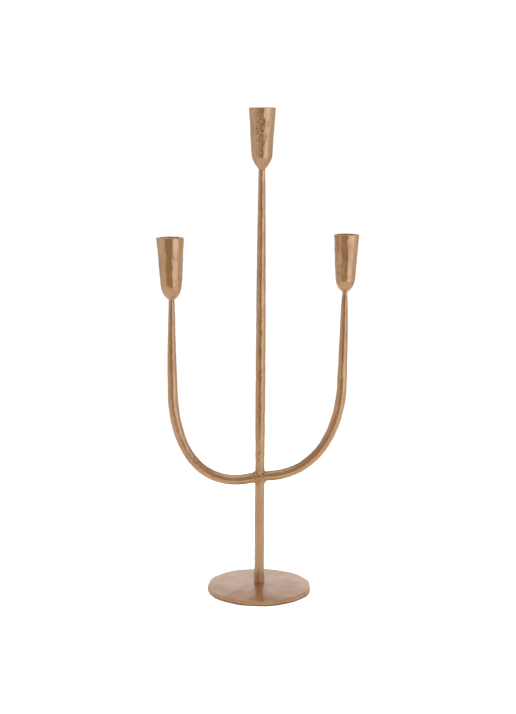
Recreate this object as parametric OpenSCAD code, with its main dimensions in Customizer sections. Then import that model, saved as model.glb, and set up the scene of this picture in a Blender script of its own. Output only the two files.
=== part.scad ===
// Tabletop candelabra for three taper candles: a hammered bar stem on a round
// plate, two bent arms coped and brazed to the stem, and three riveted cups.
// +Z is up, X runs through the arms, and the origin is on the stem's axis at
// the underside of the felt, where the candelabra stands.

/* [Candles] */
// Diameter of the candles that the cups hold
candle_d = 22; // [18:0.5:27]
// Gap all round between a candle and the straight part of its socket
candle_gap = 0.1; // [0.05:0.05:0.4]
// Depth of the straight part of the socket
socket_depth = 12; // [8:1:16]
// Width of the ledge where the socket starts to narrow
socket_ledge = 0.8; // [0.5:0.1:1.5]
// How much the radius of the hollow below the ledge narrows down to its floor
hollow_draft = 2.9; // [1:0.1:4]

/* [Base] */
// Diameter of the base plate
base_d = 112; // [90:1:140]
// Thickness of the base plate at its edge
base_edge_t = 4.7; // [3:0.1:8]
// How much higher the plate is at the middle than at the edge
base_rise = 3.6; // [1:0.5:6]
// Size of the worn corners round the plate's edge
base_chamfer = 0.5; // [0.3:0.1:1.5]
// Thickness of the felt under the plate
felt_t = 0.8; // [0.5:0.1:3]
// How far the felt stays inside the plate's edge
felt_inset = 2; // [1:1:10]

/* [Foot screw] */
// Nominal diameter of the countersunk screw
screw_d = 6; // [5:1:8]
// Length of the screw, head included
screw_len = 22; // [16:1:40]
// Diameter of the screw's head
screw_head_d = 12; // [10:0.5:15]
// Width across the flats of the screw's socket
screw_key = 4; // [3:0.5:5]
// Gap all round the screw in the plate's hole
screw_gap = 0.2; // [0.1:0.1:0.5]
// Gap all round the screw in the stem's tapped hole
thread_gap = 0.05; // [0.05:0.05:0.1]

/* [Stem] */
// Height of the middle cup's rim above the table
height = 519.5; // [400:0.5:650]
// Thickness of the stem below the taper
stem_d = 10; // [9:0.1:14]
// Thickness of the stem's tip under the cup
stem_tip_d = 6.8; // [6:0.1:9]
// Length of the stem's taper
stem_taper_len = 255; // [100:5:300]
// How much of the taper is near the tip
stem_taper_power = 2.2; // [1:0.1:3]
// Thickness of the stem's foot, where it is upset against the plate
foot_d = 11; // [10:0.1:15]
// Height over which the foot swells
foot_h = 20; // [10:1:30]
// How far the lip at the very foot stands out all round
foot_lip = 0.5; // [0.1:0.1:1]
// Height of the lip
foot_lip_h = 1; // [0.4:0.1:2]

/* [Arms] */
// Height at which the arms leave the stem
joint_z = 127; // [90:1:200]
// Thickness of the arms below the taper
arm_d = 10.4; // [9:0.1:14]
// Thickness of the left arm's tip under its cup
left_tip_d = 6; // [5.2:0.1:9]
// Thickness of the right arm's tip under its cup
right_tip_d = 5.4; // [5.2:0.1:9]
// Length of the arms' taper
arm_taper_len = 115; // [60:5:150]
// How much of the taper is near the tip
arm_taper_power = 1.4; // [1:0.1:3]
// Distance of the left cup from the stem
left_reach = 95.5; // [70:0.5:130]
// Angle at which the left arm dips as it leaves the stem
left_dip = 11; // [-10:1:20]
// Height above the joint where the left arm's bend ends
left_bend_h = 94; // [70:1:120]
// How far the left arm runs out before it turns up
left_run = 46; // [30:1:60]
// How far the left arm's turn reaches below the end of its bend
left_turn = 72; // [30:1:80]
// How far the left arm's upright leans outwards
left_lean = 1.8; // [0:0.1:5]
// Distance of the right cup from the stem
right_reach = 89; // [70:0.5:130]
// Angle at which the right arm dips as it leaves the stem: below zero it rises
right_dip = -5; // [-10:1:20]
// Height above the joint where the right arm's bend ends
right_bend_h = 102; // [70:1:120]
// How far the right arm runs out before it turns up
right_run = 47; // [30:1:60]
// How far the right arm's turn reaches below the end of its bend
right_turn = 52; // [30:1:80]
// How far the right arm's upright leans outwards
right_lean = 2.2; // [0:0.1:5]
// Length of the brazed fillets in the corners of the joint
braze_leg = 5.5; // [3:0.5:8]
// Width of the brazed fillets
braze_w = 7; // [4:0.5:8]

/* [Cups] */
// Height of the left cup's rim above the table
left_rim_z = 384.5; // [300:0.5:480]
// Height of the right cup's rim above the table
right_rim_z = 389; // [300:0.5:480]
// Height of the left cup
left_cup_h = 68.5; // [60:0.5:75]
// Height of the middle cup
middle_cup_h = 65; // [60:0.5:75]
// Height of the right cup
right_cup_h = 64.5; // [60:0.5:75]
// Wall of the left cup at its rim
left_lip = 3.1; // [1.8:0.1:4]
// Wall of the middle cup at its rim
middle_lip = 2.4; // [1.8:0.1:4]
// Wall of the right cup at its rim
right_lip = 2; // [1.8:0.1:4]
// How much a cup's radius shrinks from its rim to its shoulder
cup_draft = 2.9; // [1:0.1:3.2]
// Height of the left cup's shoulder above its neck
left_shoulder_h = 20; // [13:1:24]
// Height of the middle cup's shoulder above its neck
middle_shoulder_h = 14; // [13:1:24]
// Height of the right cup's shoulder above its neck
right_shoulder_h = 15; // [13:1:24]
// Height at which the left cup's belly turns: low is round, high is a cone
left_belly_h = 4.5; // [4:0.5:12]
// Height at which the middle cup's belly turns
middle_belly_h = 8.5; // [4:0.5:12]
// Height at which the right cup's belly turns
right_belly_h = 5; // [4:0.5:12]
// Height of the left cup's neck
left_neck_h = 2.5; // [0.5:0.5:4]
// Height of the middle cup's neck
middle_neck_h = 1.5; // [0.5:0.5:4]
// Height of the right cup's neck
right_neck_h = 3.5; // [0.5:0.5:4]
// Thickness of a cup's solid floor above its foot
cup_floor = 15; // [14:1:18]

/* [Tenons] */
// Diameter of the tenons that hold the cups
cup_tenon_d = 3.2; // [2.5:0.1:3.6]
// How far a tenon's riveted head spreads past the tenon
rivet_spread = 1.2; // [0.8:0.1:2]
// Height of a riveted head
rivet_h = 1.6; // [1:0.1:3]
// Diameter of the tenons that hold the arms
arm_tenon_d = 5; // [3:0.1:6]
// How far an arm's tenon stops short of the stem's axis
arm_tenon_stop = 0.6; // [0.4:0.1:1]
// Gap all round a tenon in its hole
tenon_gap = 0.05; // [0.05:0.05:0.1]

/* [Hammering] */
// Number of hammered faces round a bar
bar_faces = 8; // [6:2:12]
// Number of hammered faces round a cup
cup_faces = 16; // [12:2:24]
// Distance between hammer blows along a bar
blow_step = 13; // [8:1:20]
// How uneven a bar's thickness is, as a share of its radius
bar_unevenness = 0.03; // [0:0.005:0.05]
// How uneven a cup's wall is, as a share of its radius
cup_unevenness = 0.012; // [0:0.002:0.02]
// How far a bar's ridges wander to either side, in degrees
ridge_wander = 6; // [0:1:8]

/* [Hidden] */
$fn = 96;
EPS = 0.01;

socket_r = candle_d / 2 + candle_gap;
plate_top = felt_t + base_edge_t + base_rise;
screw_hole_r = screw_d / 2 + screw_gap;
thread_r = screw_d / 2;
// The countersink is a 90 degree cone, as deep as its radius is wide.
head_h = (screw_head_d - screw_d) / 2;
head_land = 0.3;
thread_spare = 3;
dome_steps = 9;
bend_steps = 26;
belly_steps = 5;
wall_steps = 6;

brass = [0.71, 0.57, 0.45];
dark_brass = [0.56, 0.43, 0.31];
felt_brown = [0.20, 0.17, 0.15];
steel = [0.62, 0.62, 0.62];

// A repeatable number from -1 to 1 for hammer blow i on face k
function blow(i, k, seed) = rands(-1, 1, 1, seed + 31 * i + 7 * k)[0];

function cubic(p, t) = pow(1 - t, 3) * p[0] + 3 * pow(1 - t, 2) * t * p[1]
                     + 3 * (1 - t) * t * t * p[2] + pow(t, 3) * p[3];
function quadratic(p, t) = pow(1 - t, 2) * p[0] + 2 * (1 - t) * t * p[1] + t * t * p[2];

// Thickness of a bar at a distance from its tip
function tapered(d, tip_d, taper_len, power, from_tip) =
    d - (d - tip_d) * pow(max(0, 1 - from_tip / taper_len), power);

// Length of a path from point i to its end
function rest_of(path, i) =
    i >= len(path) - 1 ? 0 : norm(path[i + 1] - path[i]) + rest_of(path, i + 1);

// Closed skin over rings of points that all have the same number of points
module skin(rings) {
    n = len(rings[0]);
    m = len(rings);
    sides = [for (i = [0:m - 2], k = [0:n - 1]) let (j = (k + 1) % n)
        each [[i * n + k, (i + 1) * n + k, (i + 1) * n + j], [i * n + k, (i + 1) * n + j, i * n + j]]];
    start = [for (k = [0:n - 1]) k];
    finish = [for (k = [n - 1:-1:0]) (m - 1) * n + k];
    polyhedron([for (r = rings) each r], concat([start, finish], sides));
}

// One hammered section of a bar, across the direction that the bar runs in.
// A plain one is an even polygon with a corner in the XZ plane.
function bar_ring(centre, along, d, i, seed, plain) = [
    for (k = [0:bar_faces - 1])
        let (
            spread = plain ? 0 : 1,
            r = d / 2 * (1 + spread * bar_unevenness * blow(i, k, seed)),
            a = 360 * k / bar_faces + spread * ridge_wander * blow(i, k, seed + 500),
            across = [along[1], 0, -along[0]]
        )
        [centre[0], 0, centre[1]] + r * cos(a) * across + [0, r * sin(a), 0]
];

function unit(v) = v / norm(v);

// A hammered bar along points in the XZ plane. Its first two sections are square
// to its first stretch, its last is level, and those at the plain places are even.
module bar(path, sizes, plain, seed) {
    last = len(path) - 1;
    skin([for (i = [0:last])
        let (along = i == last ? [0, 1] : i < 2 ? unit(path[1] - path[0])
            : unit(path[i + 1] - path[i - 1]))
        bar_ring(path[i], along, sizes[i], i, seed, len(search(i, plain)) > 0)]);
}

// The tenon that a cup sits on, riveted over above the cup's floor
module cup_tenon(z) {
    bite = 3;
    translate([0, 0, z - bite]) cylinder(h = cup_floor + bite + EPS, d = cup_tenon_d);
    translate([0, 0, z + cup_floor])
        cylinder(h = rivet_h, d1 = cup_tenon_d + 2 * rivet_spread, d2 = cup_tenon_d);
}

// Evenly spaced points from one place to another, both included
function stretch(from, to) =
    let (blows = max(1, round(norm(to - from) / blow_step)))
    [for (i = [0:blows]) from + (to - from) * i / blows];

// The stem is an even prism where the arms are fitted to it, and so is each arm
// where it leaves the stem.
stem_top = height - middle_cup_h;
core_h = arm_d + braze_leg;
root_start = stem_d / 4;
root_end = stem_d / 2 + braze_leg + 3;
stem_below = stretch([0, plate_top + foot_h], [0, joint_z - core_h]);
stem_above = stretch([0, joint_z + core_h], [0, stem_top]);
stem_path = concat([[0, plate_top]], stem_below, stem_above);
core_start = len(stem_below);
core_d = tapered(stem_d, stem_tip_d, stem_taper_len, stem_taper_power, stem_top - joint_z);
stem_sizes = [for (i = [0:len(stem_path) - 1])
    i == 0 ? foot_d : i == core_start || i == core_start + 1 ? core_d
    : tapered(stem_d, stem_tip_d, stem_taper_len, stem_taper_power, stem_top - stem_path[i][1])];

module stem_bar() {
    bar(stem_path, stem_sizes, [0, core_start, core_start + 1, len(stem_path) - 1], 11);
}

module stem_core() {
    translate([0, 0, joint_z - core_h]) cylinder(h = 2 * core_h, d = core_d, $fn = bar_faces);
}

module arm_core(side, dip) {
    translate([0, 0, joint_z]) rotate([0, side * (90 + dip), 0]) translate([0, 0, root_start])
        cylinder(h = root_end - root_start, d = arm_d, $fn = bar_faces);
}

// An arm's path to the right: out of the stem, round the bend and up to the cup
function arm_path(reach, dip, bend_h, run, turn, lean, top) =
    let (
        out = [cos(dip), -sin(dip)],
        root = [0, joint_z] + root_end * out,
        bend_end = [reach - lean, joint_z + bend_h],
        tip = [reach, top],
        p = [root, root + run * out, bend_end - turn * unit(tip - bend_end), bend_end],
        upright = stretch(bend_end, tip)
    )
    concat([[0, joint_z] + root_start * out],
           [for (i = [0:bend_steps]) cubic(p, i / bend_steps)],
           [for (i = [1:len(upright) - 1]) upright[i]]);

function mirrored(path) = [for (p = path) [-p[0], p[1]]];

left_path = mirrored(arm_path(left_reach, left_dip, left_bend_h, left_run, left_turn,
                              left_lean, left_rim_z - left_cup_h));
right_path = arm_path(right_reach, right_dip, right_bend_h, right_run, right_turn,
                      right_lean, right_rim_z - right_cup_h);

// The round tenon, or the hole for it, that runs into the stem from one side
module arm_tenon(side, gap) {
    reach_in = stem_d / 2 + 2;
    translate([side * (arm_tenon_stop - gap), 0, joint_z])
        rotate([0, side * 90, 0]) cylinder(h = reach_in, d = arm_tenon_d + 2 * gap);
}

module arm(path, side, tip_d, seed) {
    last = len(path) - 1;
    sizes = [for (i = [0:last]) i < 2 ? arm_d
        : tapered(arm_d, tip_d, arm_taper_len, arm_taper_power, rest_of(path, i))];
    difference() {
        bar(path, sizes, [0, 1, last], seed);
        stem_core();
    }
    arm_tenon(side, 0);
    translate([path[last][0], 0, 0]) cup_tenon(path[last][1]);
}

module base_plate() {
    r = base_d / 2;
    flat_r = foot_d / 2 + foot_lip + 1.5;
    dome = [for (i = [0:dome_steps]) let (t = i / dome_steps)
        [flat_r + (r - base_chamfer - flat_r) * t, plate_top - base_rise * t * t]];
    color(brass) difference() {
        rotate_extrude() polygon(concat(
            [[0, felt_t], [0, plate_top]],
            dome,
            [[r, felt_t + base_edge_t - base_chamfer],
             [r, felt_t + base_chamfer],
             [r - base_chamfer, felt_t]]));
        translate([0, 0, felt_t - EPS]) cylinder(h = plate_top, r = screw_hole_r);
        countersink();
    }
}

module countersink() {
    translate([0, 0, felt_t - EPS]) cylinder(h = head_land + EPS, d = screw_head_d);
    translate([0, 0, felt_t + head_land]) cylinder(h = head_h, d1 = screw_head_d, d2 = screw_d);
}

module base_felt() {
    color(felt_brown) cylinder(h = felt_t, d = base_d - 2 * felt_inset);
}

module base_screw() {
    key_depth = head_h * 0.8;
    color(steel) difference() {
        union() {
            translate([0, 0, felt_t]) cylinder(h = head_land, d = screw_head_d);
            translate([0, 0, felt_t + head_land])
                cylinder(h = head_h, d1 = screw_head_d, d2 = screw_d);
            translate([0, 0, felt_t + head_land])
                cylinder(h = screw_len - head_land, r = thread_r - thread_gap);
        }
        translate([0, 0, felt_t - EPS]) cylinder(h = key_depth, d = screw_key / cos(30), $fn = 6);
    }
}

module stem() {
    tap_depth = felt_t + screw_len + thread_spare - plate_top;
    color(brass) difference() {
        union() {
            stem_bar();
            translate([0, 0, plate_top]) cylinder(h = foot_lip_h, d = foot_d + 2 * foot_lip);
            cup_tenon(stem_top);
        }
        translate([0, 0, plate_top - EPS]) cylinder(h = tap_depth + EPS, r = thread_r);
        for (side = [-1, 1]) arm_tenon(side, tenon_gap);
    }
}

module left_arm() {
    color(brass) arm(left_path, -1, left_tip_d, 101);
}

module right_arm() {
    color(brass) arm(right_path, 1, right_tip_d, 201);
}

// The brazing metal in the corners above and below an arm
module braze(side, dip) {
    inset = stem_d * 0.3;
    edge = 0.4;
    hollow = braze_leg * 0.35;
    corner = stem_d / 2;
    end = corner + braze_leg;
    difference() {
        for (up = [-1, 1]) {
            skin_z = up * arm_d / 2 / cos(dip);
            corner_z = skin_z - corner * tan(dip);
            end_z = skin_z - end * tan(dip);
            outline = [[inset, corner_z - up * 3], [end, end_z - up * 3], [end, end_z + up * edge],
                       [corner + hollow, corner_z + up * hollow],
                       [corner + edge, corner_z + up * braze_leg], [inset, corner_z + up * braze_leg]];
            translate([0, braze_w / 2, joint_z]) rotate([90, 0, 0]) linear_extrude(braze_w)
                polygon([for (p = outline) [side * p[0], p[1]]]);
        }
        stem_core();
        arm_core(side, dip);
    }
}

module left_braze() {
    color(dark_brass) braze(-1, left_dip);
}

module right_braze() {
    color(dark_brass) braze(1, right_dip);
}

// A cup's radius and height pairs, from its foot to its rim
function cup_profile(h, rim_r, neck_r, neck_h, belly_h, shoulder_h) =
    let (
        shoulder = [rim_r - cup_draft, neck_h + shoulder_h],
        belly = [[neck_r, neck_h], [shoulder[0] - cup_draft * 0.15, neck_h + belly_h], shoulder]
    )
    concat(
        [[neck_r, 0]],
        [for (i = [0:belly_steps]) quadratic(belly, i / belly_steps)],
        [for (i = [1:wall_steps]) shoulder + ([rim_r, h] - shoulder) * i / wall_steps]);

module cup(x, rim_z, h, lip, neck_d, neck_h, belly_h, shoulder_h, seed) {
    profile = cup_profile(h, socket_r + lip, neck_d / 2, neck_h, belly_h, shoulder_h);
    hollow_top = h - socket_depth;
    translate([x, 0, rim_z - h]) difference() {
        skin([for (i = [0:len(profile) - 1]) [for (k = [0:cup_faces - 1])
            let (
                p = profile[i],
                r = p[0] * (1 + cup_unevenness * blow(i, k, seed)),
                a = 360 * (k + 0.5) / cup_faces
            )
            [r * cos(a), r * sin(a), p[1]]]]);
        translate([0, 0, hollow_top]) cylinder(h = socket_depth + EPS, r = socket_r);
        translate([0, 0, cup_floor])
            cylinder(h = hollow_top - cup_floor + EPS, r1 = socket_r - socket_ledge - hollow_draft,
                     r2 = socket_r - socket_ledge);
        translate([0, 0, -EPS]) cylinder(h = cup_floor + 2 * EPS, d = cup_tenon_d + 2 * tenon_gap);
    }
}

module left_cup() {
    color(brass)
        cup(-left_reach, left_rim_z, left_cup_h, left_lip, left_tip_d,
            left_neck_h, left_belly_h, left_shoulder_h, 301);
}

module middle_cup() {
    color(brass)
        cup(0, height, middle_cup_h, middle_lip, stem_tip_d,
            middle_neck_h, middle_belly_h, middle_shoulder_h, 401);
}

module right_cup() {
    color(brass)
        cup(right_reach, right_rim_z, right_cup_h, right_lip, right_tip_d,
            right_neck_h, right_belly_h, right_shoulder_h, 501);
}

base_plate();
base_felt();
base_screw();
stem();
left_arm();
right_arm();
left_braze();
right_braze();
left_cup();
middle_cup();
right_cup();
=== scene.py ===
"""Hand-forged brass candelabra with three cups: its looks, built round the packed frame."""

import math

import bmesh
import bpy
import numpy as np
from bpy.props import FloatProperty, FloatVectorProperty, IntProperty, PointerProperty
from mathutils import Matrix, Vector


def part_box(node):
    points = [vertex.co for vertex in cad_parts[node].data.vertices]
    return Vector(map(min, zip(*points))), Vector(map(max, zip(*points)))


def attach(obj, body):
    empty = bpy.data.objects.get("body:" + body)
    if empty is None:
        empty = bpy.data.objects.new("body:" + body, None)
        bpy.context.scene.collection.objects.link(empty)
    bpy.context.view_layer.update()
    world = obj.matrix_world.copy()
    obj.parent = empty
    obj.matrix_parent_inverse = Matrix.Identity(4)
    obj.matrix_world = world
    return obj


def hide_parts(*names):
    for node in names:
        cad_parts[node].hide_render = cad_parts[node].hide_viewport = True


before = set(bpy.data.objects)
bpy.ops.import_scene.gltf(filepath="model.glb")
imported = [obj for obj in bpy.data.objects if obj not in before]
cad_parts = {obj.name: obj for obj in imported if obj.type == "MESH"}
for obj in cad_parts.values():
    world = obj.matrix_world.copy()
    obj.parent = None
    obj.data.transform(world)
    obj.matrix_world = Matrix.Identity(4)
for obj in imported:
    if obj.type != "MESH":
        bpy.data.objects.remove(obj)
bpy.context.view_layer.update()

bl_info = {
    "name": "Forged brass candelabra",
    "version": (1, 0, 0),
    "blender": (4, 5, 0),
    "location": "View3D > Sidebar > Candelabra",
    "description": "Builds the hammered bars, cups, foot and finish of a three-cup candelabra",
    "category": "Add Mesh",
}

MM = 0.001
DEPTH = np.array([0, 1, 0])
BAR_RING = 64
CUP_RING = 112
PLATE_RING = 192
FELT_RING = 160
BORE_RING = 32
FACE_TURN = math.radians(22.5)
# Painted shade for the plate's edge: a negative ridge mark, which darkens its colour towards
# tarnish and thins its coat.
PLATE_EDGE_PAINTED_SHADE = -0.6
STEM_FULLNESS = 1.035
FOOT_FULLNESS = 0.035
CUP_FULLNESS = 0.035
RIM_SAG = 0.12 * MM
RIM_TIP = 0.25 * MM
CAST_TURN = math.radians(-100)
CAST_WIDTH = math.radians(30)
CAST_UP = 38 * MM
CAST_HEIGHT = 26 * MM
# What the metal reflects of the room: degrees from the viewer's side, and the light there.
ROOM_LIGHT = (
    (-180, 0.26), (-115, 0.28), (-92, 0.42), (-66, 0.44), (-52, 0.36), (-40, 0.24), (-22, 0.08),
    (12, 0.05), (24, 0.35), (34, 0.90), (52, 0.92), (64, 0.48), (95, 0.42), (120, 0.28),
    (180, 0.26))
ROOM_LEVEL = 2.05
BACK_LEVEL = 1.0
UPPER_LEVEL = 0.32
CEILING_LEVEL = 1.1
SEEN_LEVEL = 1.05
ROOM_TINT = (1.0, 0.96, 0.86)
FLOOR_IN_METAL = (0.54, 0.52, 0.47)
WHITE = (1.0, 1.0, 1.0)


def size_prop(name, description, value):
    """A length that a user can change, given in millimetres."""
    return FloatProperty(name=name, description=description, default=value * MM, unit="LENGTH",
                         subtype="DISTANCE", precision=5)


def number_prop(name, description, value, low=None, high=None):
    """A plain number: a whole one, with the least and the most that it may be, or any other."""
    if low is None:
        return FloatProperty(name=name, description=description, default=value)
    return IntProperty(name=name, description=description, default=value, min=low, max=high)


def share_prop(name, description, value, top=1.0):
    """A share, from nothing to the most that makes sense."""
    return FloatProperty(name=name, description=description, default=value, min=0.0, max=top)


def angle_prop(name, description, degrees):
    """An angle, given in degrees and kept in radians."""
    return FloatProperty(name=name, description=description, default=math.radians(degrees),
                         unit="ROTATION", subtype="ANGLE")


def colour_prop(name, description, value):
    """A colour in linear light."""
    return FloatVectorProperty(name=name, description=description, default=value, size=3,
                               subtype="COLOR", min=0.0, max=1.0)


# --- sizes and colours


class CandelabraBars(bpy.types.PropertyGroup):
    """Sizes of the stem and its two arms"""

    stem_d: size_prop("Stem", "Thickness of the stem from ridge to ridge", 10)
    stem_tip_d: size_prop("Stem tip", "Thickness of the stem under its cup", 6.8)
    stem_taper: size_prop("Stem taper", "Length over which the stem thins", 255)
    stem_taper_power: number_prop("Stem taper curve", "How late the stem's thinning comes", 2.6)
    foot_d: size_prop("Foot", "Thickness of the stem at the plate", 11)
    foot_h: size_prop("Foot flare", "Height over which the stem widens to its foot", 34)
    foot_lip: size_prop("Foot lip", "How far the lip round the foot stands out", 0.5)
    foot_lip_h: size_prop("Foot lip height", "Height of the lip round the foot", 1)
    arm_d: size_prop("Arm", "Thickness of an arm from ridge to ridge", 10.4)
    arm_taper: size_prop("Arm taper", "Length over which an arm thins", 115)
    arm_taper_power: number_prop("Arm taper curve", "How late an arm's thinning comes", 1.4)
    tap_r: size_prop("Tapped hole", "Radius of the hole that the screw runs into", 3)
    joint_z: size_prop("Joint height", "Height at which the arms leave the stem", 127)
    root: size_prop("Straight root", "How far from the stem's axis an arm runs straight", 13.5)
    tenon_d: size_prop("Arm tenon", "Thickness of the tenon that holds an arm", 5)
    tenon_stop: size_prop("Arm tenon stop", "How far a tenon stops from the axis", 0.6)
    tenon_gap: size_prop("Arm tenon gap", "Gap round an arm's tenon in its hole", 0.05)
    faces: number_prop("Faces", "Hammered faces round a bar", 8, 5, 16)
    crispness: number_prop("Crispness", "How sharp the ridges between faces are", 13.0)
    sway: angle_prop("Ridge sway", "How far a ridge wanders to either side", 9)
    pit: share_prop("Face depth", "How much a face's depth changes along the bar", 0.018, 0.1)
    nick: size_prop("Nicks", "Depth of the small nicks left by the hammer's edge", 0.22)
    blow: size_prop("Blow length", "Length over which the hammering changes", 13)


class CandelabraCups(bpy.types.PropertyGroup):
    """Sizes that the three cups share"""

    socket_r: size_prop("Socket radius", "Radius of the bore that holds a candle", 11.1)
    socket_h: size_prop("Socket depth", "Depth of the bore that holds a candle", 12)
    ledge: size_prop("Ledge", "Width of the ledge that a candle stands on", 0.8)
    draft: size_prop("Draft", "How much a cup's radius shrinks from rim to shoulder", 2.9)
    floor_h: size_prop("Floor", "Thickness of a cup's solid floor above its foot", 15)
    tenon_d: size_prop("Cup tenon", "Thickness of the tenon that a cup sits on", 3.2)
    tenon_gap: size_prop("Tenon gap", "Gap round the tenon in its hole", 0.05)
    rivet_spread: size_prop("Rivet spread", "How far the riveted head stands out", 1.2)
    rivet_h: size_prop("Rivet height", "Height of the riveted head", 1.6)
    rim_round: size_prop("Rim rounding", "Radius of the worn edges of a rim", 0.55)
    crispness: number_prop("Crispness", "How sharp the ridges between faces are", 95.0)
    sway: angle_prop("Ridge sway", "How far a ridge wanders to either side", 7.5)
    pit: share_prop("Face depth", "How much a face's depth changes up the cup", 0.012, 0.1)
    blow: size_prop("Blow length", "Length over which the hammering changes", 14)


class CandelabraFoot(bpy.types.PropertyGroup):
    """Sizes of the round plate and its felt"""

    edge_t: size_prop("Edge", "Thickness of the plate at its edge", 4.7)
    rise: size_prop("Rise", "How much the plate rises to its middle", 3.6)
    sides: number_prop("Flats", "Soft flats round the plate's edge", 11, 0, 24)
    side_depth: share_prop("Flat depth", "How deep the flats cut, as a share of the radius",
                           0.020, 0.1)
    dents: size_prop("Dents", "Depth of the shallow hammer marks on top", 0.2)
    hole_r: size_prop("Screw hole", "Radius of the hole for the screw", 3.2)
    sink_r: size_prop("Countersink", "Radius of the recess for the screw's head", 6)
    sink_land: size_prop("Countersink land", "Straight depth of the recess", 0.3)
    sink_h: size_prop("Countersink depth", "Depth of the recess's cone", 3)


class CandelabraFinish(bpy.types.PropertyGroup):
    """Colours and gloss of the metals and the felt"""

    brass: colour_prop("Brass", "The metal where it is rubbed clean", (0.580, 0.296, 0.100))
    # Tarnish is the real browned colour; the painted shade at the plate's edge and over the whole
    # plate also pulls towards it.
    tarnish: colour_prop("Tarnish", "The metal where it has browned", (0.47, 0.215, 0.068))
    pale: colour_prop("Pale brass", "Raw cast and brazed metal", (0.80, 0.60, 0.36))
    felt: colour_prop("Felt", "Colour of the felt under the plate", (0.055, 0.045, 0.038))
    steel: colour_prop("Steel", "Colour of the screw", (0.56, 0.57, 0.58))
    bar_rough: share_prop("Bar roughness", "Roughness of the bars", 0.60)
    cup_rough: share_prop("Cup roughness", "Roughness of the cups", 0.60)
    plate_rough: share_prop("Plate roughness", "Roughness of the plate", 0.50)


class CandelabraStudio(bpy.types.PropertyGroup):
    """Camera, floor and light"""

    lens: FloatProperty(name="Lens", description="Focal length on a 36 mm frame", default=75.63,
                        unit="CAMERA")
    tilt: angle_prop("Tilt", "How far the camera looks down", 10)
    roll: angle_prop("Roll", "How far the camera leans", 0.385)
    stand: FloatVectorProperty(name="Camera", description="Where the camera stands", size=3,
                               default=(-0.0028, -1.5704, 0.5346), subtype="TRANSLATION",
                               unit="LENGTH")
    floor_r: size_prop("Floor", "Radius of the round floor", 720)
    floor_white: share_prop("Floor white", "How white the floor is", 0.93)
    top_power: FloatProperty(name="Top light", description="Power of the light overhead",
                             default=221.0, unit="POWER")


# --- hammered shapes


def wander(where, length, seed):
    """Smooth repeatable values, about -1 to 1, that change over the given length."""
    knots = np.random.default_rng(seed).uniform(-1, 1, 256)
    place = np.asarray(where, float) / length + 64
    whole = np.floor(place).astype(int)
    t = place - whole
    a, b, c, d = (knots[(whole + step) % 256] for step in (-1, 0, 1, 2))
    return 0.5 * (2 * b + (c - a) * t + (2 * a - 5 * b + 4 * c - d) * t ** 2
                  + (3 * b - a - 3 * c + d) * t ** 3)


def jump(where, length, seed):
    """Repeatable values, about -1 to 1, that hold over a blow and then change quickly."""
    knots = np.random.default_rng(seed).uniform(-1, 1, 257)
    place = np.asarray(where, float) / length + 64 + knots[256]
    whole = np.floor(place).astype(int)
    t = np.clip((place - whole - 0.5) * 4 + 0.5, 0, 1)
    t = t * t * (3 - 2 * t)
    return knots[whole % 256] * (1 - t) + knots[(whole + 1) % 256] * t


def ripple(points, length, seed, waves=14):
    """Smooth repeatable values, about -1 to 1, that change over the given length in space."""
    rng = np.random.default_rng(seed)
    total = np.zeros(points.shape[:-1])
    for _ in range(waves):
        heading = rng.normal(size=3)
        heading *= 2 * np.pi / (length * rng.uniform(0.7, 1.6) * np.linalg.norm(heading))
        total += np.cos(points @ heading + rng.uniform(0, 2 * np.pi))
    return total / math.sqrt(waves)


def hammered(turn, along, faces, first, look, seed):
    """Share of the full radius left by flat hammered faces, and how near a ridge it is."""
    power = look.crispness
    flat = math.cos(math.pi / faces) * 2 ** (1 / power)
    parts = []
    for k in range(faces):
        sway = jump(along, look.blow, seed + k) + 0.45 * wander(along, look.blow / 3, seed + 20 + k)
        facing = first + 2 * np.pi * k / faces + look.sway * sway
        depth = flat * (1 + look.pit * jump(along, look.blow * 0.8, seed + 40 + k))
        parts.append((np.maximum(np.cos(turn - facing), 0.0) / depth) ** power)
    parts = np.array(parts)
    total = parts.sum(0)
    ridge = 2 * (1 - parts.max(0) / total)
    return np.minimum(total ** (-1 / power), 1.0), np.clip(ridge, 0, 1)


def nicks(turn, radius, along, count, seed):
    """How deep small slanted nicks, scattered along a bar, are at each place, from 0 to 1."""
    rng = np.random.default_rng(seed)
    total = np.zeros(radius.shape)
    for _ in range(count):
        aside = radius * np.angle(np.exp(1j * (turn - rng.uniform(0, 2 * np.pi))))
        up = along - rng.uniform(along.min(), along.max())
        slant = rng.uniform(-1.2, 1.2)
        u = (aside * math.cos(slant) + up * math.sin(slant)) / rng.uniform(1 * MM, 3 * MM)
        v = (up * math.cos(slant) - aside * math.sin(slant)) / (0.8 * MM)
        total += np.exp(-u * u - v * v)
    return np.minimum(total, 1)


def tapered(d, tip_d, length, power, from_tip):
    """Thickness of a bar at a distance from its tip."""
    return d - (d - tip_d) * np.maximum(0, 1 - from_tip / length) ** power


def turns(count):
    """Evenly spaced angles once round."""
    return np.arange(count) * 2 * np.pi / count


def circle(radius, z, count):
    """A level ring of points."""
    a = turns(count)
    return np.stack([radius * np.cos(a), radius * np.sin(a), np.full(count, z)], -1)


def circles(places, count):
    """Level rings, each given by its radius and height."""
    return [circle(radius, z, count) for radius, z in places]


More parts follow.
